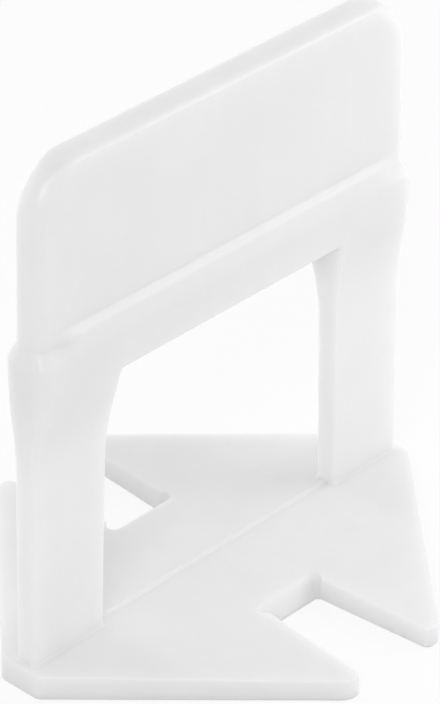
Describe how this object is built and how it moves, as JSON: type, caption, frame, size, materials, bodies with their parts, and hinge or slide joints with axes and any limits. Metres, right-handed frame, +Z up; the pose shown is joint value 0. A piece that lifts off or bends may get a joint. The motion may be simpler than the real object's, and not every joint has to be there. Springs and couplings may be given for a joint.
{
  "type": "tile levelling clip",
  "caption": "Moulded white plastic tile levelling clip: butterfly-shaped base plate, thin legs that stand in the tile joint, and a flat head over a window that takes a wedge.",
  "frame": {"origin": "middle of the underside of the base plate", "axes": "+X along the tile joint, +Y across it, +Z up towards the head"},
  "size_m": [0.047, 0.0418, 0.0487],
  "materials": {
    "white_polypropylene": "satin moulded surface, slightly translucent"
  },
  "bodies": {
    "root": {"levelling_clip": "white_polypropylene"}
  },
  "joints": []
}
